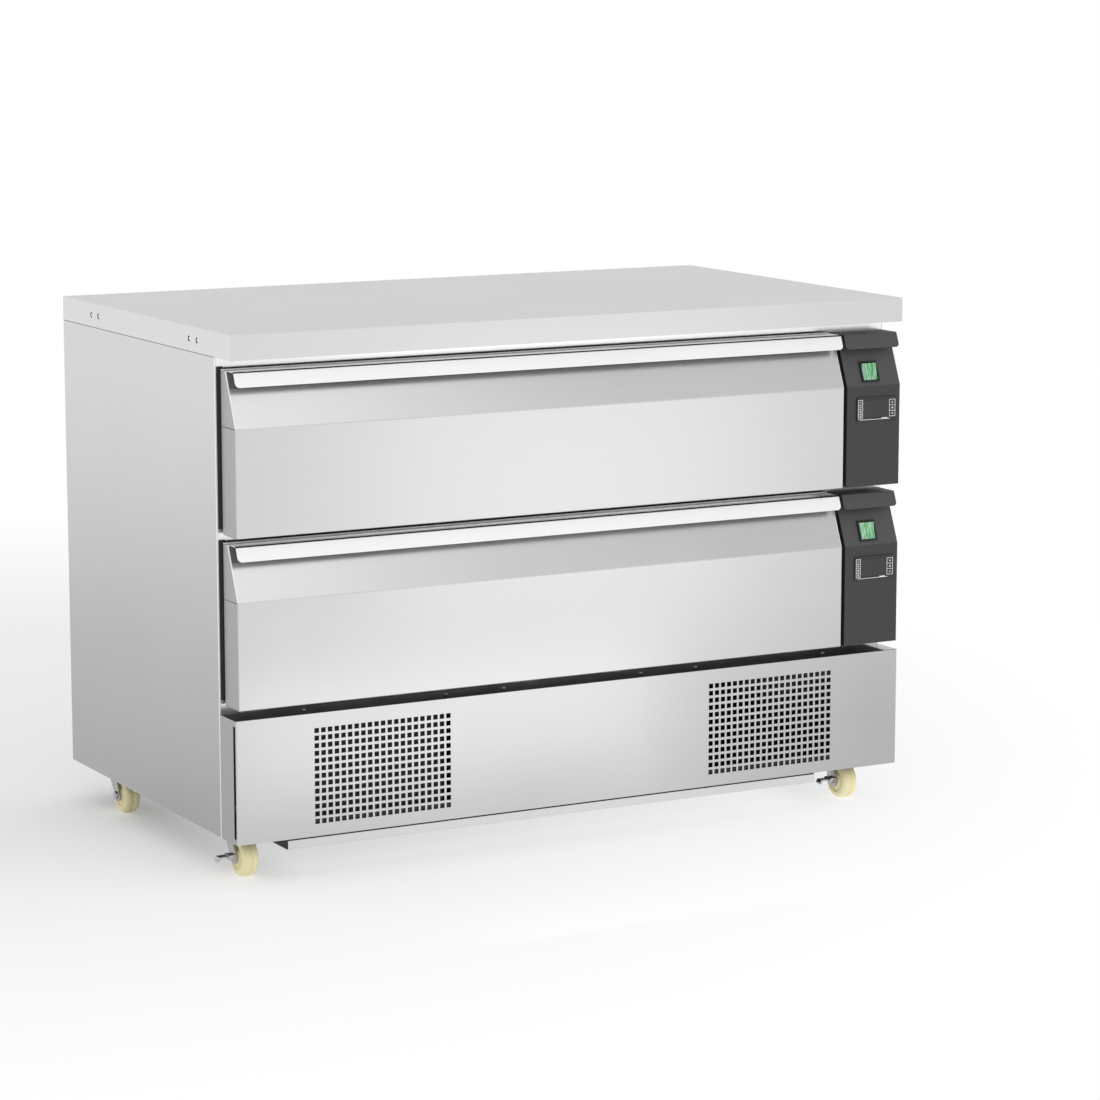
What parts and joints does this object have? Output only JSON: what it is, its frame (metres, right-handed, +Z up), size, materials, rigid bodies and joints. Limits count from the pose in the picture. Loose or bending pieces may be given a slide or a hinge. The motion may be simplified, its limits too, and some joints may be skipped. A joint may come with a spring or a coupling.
{
  "type": "refrigerated drawer counter",
  "caption": "Stainless refrigerated counter with stacked full-width sliding drawers, handle lips, side control panels, a ventilated plinth and swivel castors.",
  "frame": {"origin": "on the floor under the middle of the worktop", "axes": "+X to the right seen from the front, +Y to the back, +Z up"},
  "size_m": [1.241, 0.7, 0.865],
  "materials": {
    "outer_steel": "brushed stainless steel",
    "inner_steel": "plain mill-finish stainless steel",
    "inner_moulding": "pale grey moulding over foam",
    "insulation": "rigid polyurethane foam",
    "seal_rubber": "black soft rubber",
    "cap_paint": "satin black",
    "panel_paint": "fine dark grey powder coat",
    "instrument_plastic": "black, lightly textured",
    "key_plastic": "dark grey with pale print",
    "rocker_green": "translucent green, glossy",
    "bright_zinc": "bright zinc plate",
    "pedal_zinc": "dull zinc plate",
    "wheel_nylon": "cream nylon, slightly glossy",
    "compressor_black": "satin black enamel",
    "coil_aluminium": "bare fins",
    "fan_plastic": "black moulding",
    "pipe_copper": "bare copper, dulled"
  },
  "bodies": {
    "cabinet": {"worktop": "outer_steel", "worktop_plugs": "outer_steel", "left_side_panel": "outer_steel", "right_side_panel": "outer_steel", "back_panel": "outer_steel", "front_frame": "outer_steel", "plinth_panel": "outer_steel", "cell_casing": "inner_steel", "upper_liner": "inner_steel", "lower_liner": "inner_steel", "fixed_rails": "inner_steel", "base_plate": "inner_steel", "undertray": "inner_steel", "cell_insulation": "insulation", "plinth_cap": "cap_paint", "control_panels": "panel_paint", "thermostats": "instrument_plastic", "switch_bodies": "instrument_plastic", "cable_gland": "instrument_plastic", "plinth_screws": "bright_zinc", "castor_stems": "bright_zinc", "compressors": "compressor_black", "condenser_coil": "coil_aluminium", "evaporator_coils": "coil_aluminium", "condenser_fan_frame": "fan_plastic", "evaporator_fan_frames": "fan_plastic", "refrigerant_pipes": "pipe_copper"},
    "upper_drawer": {"upper_drawer_front": "outer_steel", "upper_drawer_inner": "inner_moulding", "upper_drawer_seal": "seal_rubber", "upper_drawer_box": "inner_steel", "upper_drawer_rails": "inner_steel"},
    "upper_slide_middle": {"upper_middle_rails": "inner_steel"},
    "lower_drawer": {"lower_drawer_front": "outer_steel", "lower_drawer_inner": "inner_moulding", "lower_drawer_seal": "seal_rubber", "lower_drawer_box": "inner_steel", "lower_drawer_rails": "inner_steel"},
    "lower_slide_middle": {"lower_middle_rails": "inner_steel"},
    "front_left_castor": {"front_left_fork": "bright_zinc"},
    "front_left_wheel": {"front_left_wheel": "wheel_nylon"},
    "front_left_pedal": {"front_left_brake_pedal": "pedal_zinc"},
    "front_right_castor": {"front_right_fork": "bright_zinc"},
    "front_right_wheel": {"front_right_wheel": "wheel_nylon"},
    "front_right_pedal": {"front_right_brake_pedal": "pedal_zinc"},
    "rear_left_castor": {"rear_left_fork": "bright_zinc"},
    "rear_left_wheel": {"rear_left_wheel": "wheel_nylon"},
    "rear_right_castor": {"rear_right_fork": "bright_zinc"},
    "rear_right_wheel": {"rear_right_wheel": "wheel_nylon"},
    "upper_switch": {"upper_rocker": "rocker_green"},
    "upper_key_1": {"upper_key_1": "key_plastic"},
    "upper_key_2": {"upper_key_2": "key_plastic"},
    "upper_key_3": {"upper_key_3": "key_plastic"},
    "lower_switch": {"lower_rocker": "rocker_green"},
    "lower_key_1": {"lower_key_1": "key_plastic"},
    "lower_key_2": {"lower_key_2": "key_plastic"},
    "lower_key_3": {"lower_key_3": "key_plastic"},
    "upper_fan": {"upper_evaporator_fan": "fan_plastic"},
    "lower_fan": {"lower_evaporator_fan": "fan_plastic"},
    "plinth_fan": {"condenser_fan": "fan_plastic"}
  },
  "joints": [
    {"name": "upper_drawer_slide", "type": "slide", "parent": "cabinet", "child": "upper_drawer", "axis": [0, -1, 0], "range_m": [0, 0.5]},
    {"name": "upper_middle_slide", "type": "slide", "parent": "cabinet", "child": "upper_slide_middle", "axis": [0, -1, 0], "range_m": [0, 0.25]},
    {"name": "lower_drawer_slide", "type": "slide", "parent": "cabinet", "child": "lower_drawer", "axis": [0, -1, 0], "range_m": [0, 0.5]},
    {"name": "lower_middle_slide", "type": "slide", "parent": "cabinet", "child": "lower_slide_middle", "axis": [0, -1, 0], "range_m": [0, 0.25]},
    {"name": "front_left_swivel", "type": "hinge", "parent": "cabinet", "child": "front_left_castor", "pos_m": [-0.578, -0.262, 0.078], "axis": [0, 0, 1], "continuous": true},
    {"name": "front_left_roll", "type": "hinge", "parent": "front_left_castor", "child": "front_left_wheel", "pos_m": [-0.578, -0.29, 0.0315], "axis": [1, 0, 0], "continuous": true},
    {"name": "front_left_brake", "type": "hinge", "parent": "front_left_castor", "child": "front_left_pedal", "pos_m": [-0.6045, -0.29, 0.0335], "axis": [0, -1, 0], "range_deg": [0, 14]},
    {"name": "front_right_swivel", "type": "hinge", "parent": "cabinet", "child": "front_right_castor", "pos_m": [0.545, -0.262, 0.078], "axis": [0, 0, 1], "continuous": true},
    {"name": "front_right_roll", "type": "hinge", "parent": "front_right_castor", "child": "front_right_wheel", "pos_m": [0.545, -0.29, 0.0315], "axis": [1, 0, 0], "continuous": true},
    {"name": "front_right_brake", "type": "hinge", "parent": "front_right_castor", "child": "front_right_pedal", "pos_m": [0.5185, -0.29, 0.0335], "axis": [0, -1, 0], "range_deg": [0, 14]},
    {"name": "rear_left_swivel", "type": "hinge", "parent": "cabinet", "child": "rear_left_castor", "pos_m": [-0.578, 0.225, 0.078], "axis": [0, 0, 1], "continuous": true},
    {"name": "rear_left_roll", "type": "hinge", "parent": "rear_left_castor", "child": "rear_left_wheel", "pos_m": [-0.578, 0.197, 0.0315], "axis": [1, 0, 0], "continuous": true},
    {"name": "rear_right_swivel", "type": "hinge", "parent": "cabinet", "child": "rear_right_castor", "pos_m": [0.545, 0.225, 0.078], "axis": [0, 0, 1], "continuous": true},
    {"name": "rear_right_roll", "type": "hinge", "parent": "rear_right_castor", "child": "rear_right_wheel", "pos_m": [0.545, 0.197, 0.0315], "axis": [1, 0, 0], "continuous": true},
    {"name": "upper_switch_tip", "type": "hinge", "parent": "cabinet", "child": "upper_switch", "pos_m": [0.557, -0.33527, 0.74095], "axis": [1, 0, 0], "range_deg": [-16, 0]},
    {"name": "upper_key_1_press", "type": "slide", "parent": "cabinet", "child": "upper_key_1", "axis": [0, 1, 0], "range_m": [0, 0.0006], "stiffness_N_per_m": 400},
    {"name": "upper_key_2_press", "type": "slide", "parent": "cabinet", "child": "upper_key_2", "axis": [0, 1, 0], "range_m": [0, 0.0006], "stiffness_N_per_m": 400},
    {"name": "upper_key_3_press", "type": "slide", "parent": "cabinet", "child": "upper_key_3", "axis": [0, 1, 0], "range_m": [0, 0.0006], "stiffness_N_per_m": 400},
    {"name": "lower_switch_tip", "type": "hinge", "parent": "cabinet", "child": "lower_switch", "pos_m": [0.557, -0.33527, 0.46995], "axis": [1, 0, 0], "range_deg": [-16, 0]},
    {"name": "lower_key_1_press", "type": "slide", "parent": "cabinet", "child": "lower_key_1", "axis": [0, 1, 0], "range_m": [0, 0.0006], "stiffness_N_per_m": 400},
    {"name": "lower_key_2_press", "type": "slide", "parent": "cabinet", "child": "lower_key_2", "axis": [0, 1, 0], "range_m": [0, 0.0006], "stiffness_N_per_m": 400},
    {"name": "lower_key_3_press", "type": "slide", "parent": "cabinet", "child": "lower_key_3", "axis": [0, 1, 0], "range_m": [0, 0.0006], "stiffness_N_per_m": 400},
    {"name": "upper_fan_spin", "type": "hinge", "parent": "cabinet", "child": "upper_fan", "pos_m": [-0.33325, 0.28, 0.6815], "axis": [0, 1, 0], "continuous": true},
    {"name": "lower_fan_spin", "type": "hinge", "parent": "cabinet", "child": "lower_fan", "pos_m": [-0.33325, 0.28, 0.4105], "axis": [0, 1, 0], "continuous": true},
    {"name": "plinth_fan_spin", "type": "hinge", "parent": "cabinet", "child": "plinth_fan", "pos_m": [-0.361, -0.275, 0.166], "axis": [0, 1, 0], "continuous": true}
  ],
  "couplings": [
    {"joint": "upper_middle_slide", "follows": "upper_drawer_slide", "ratio": 0.5},
    {"joint": "lower_middle_slide", "follows": "lower_drawer_slide", "ratio": 0.5}
  ]
}
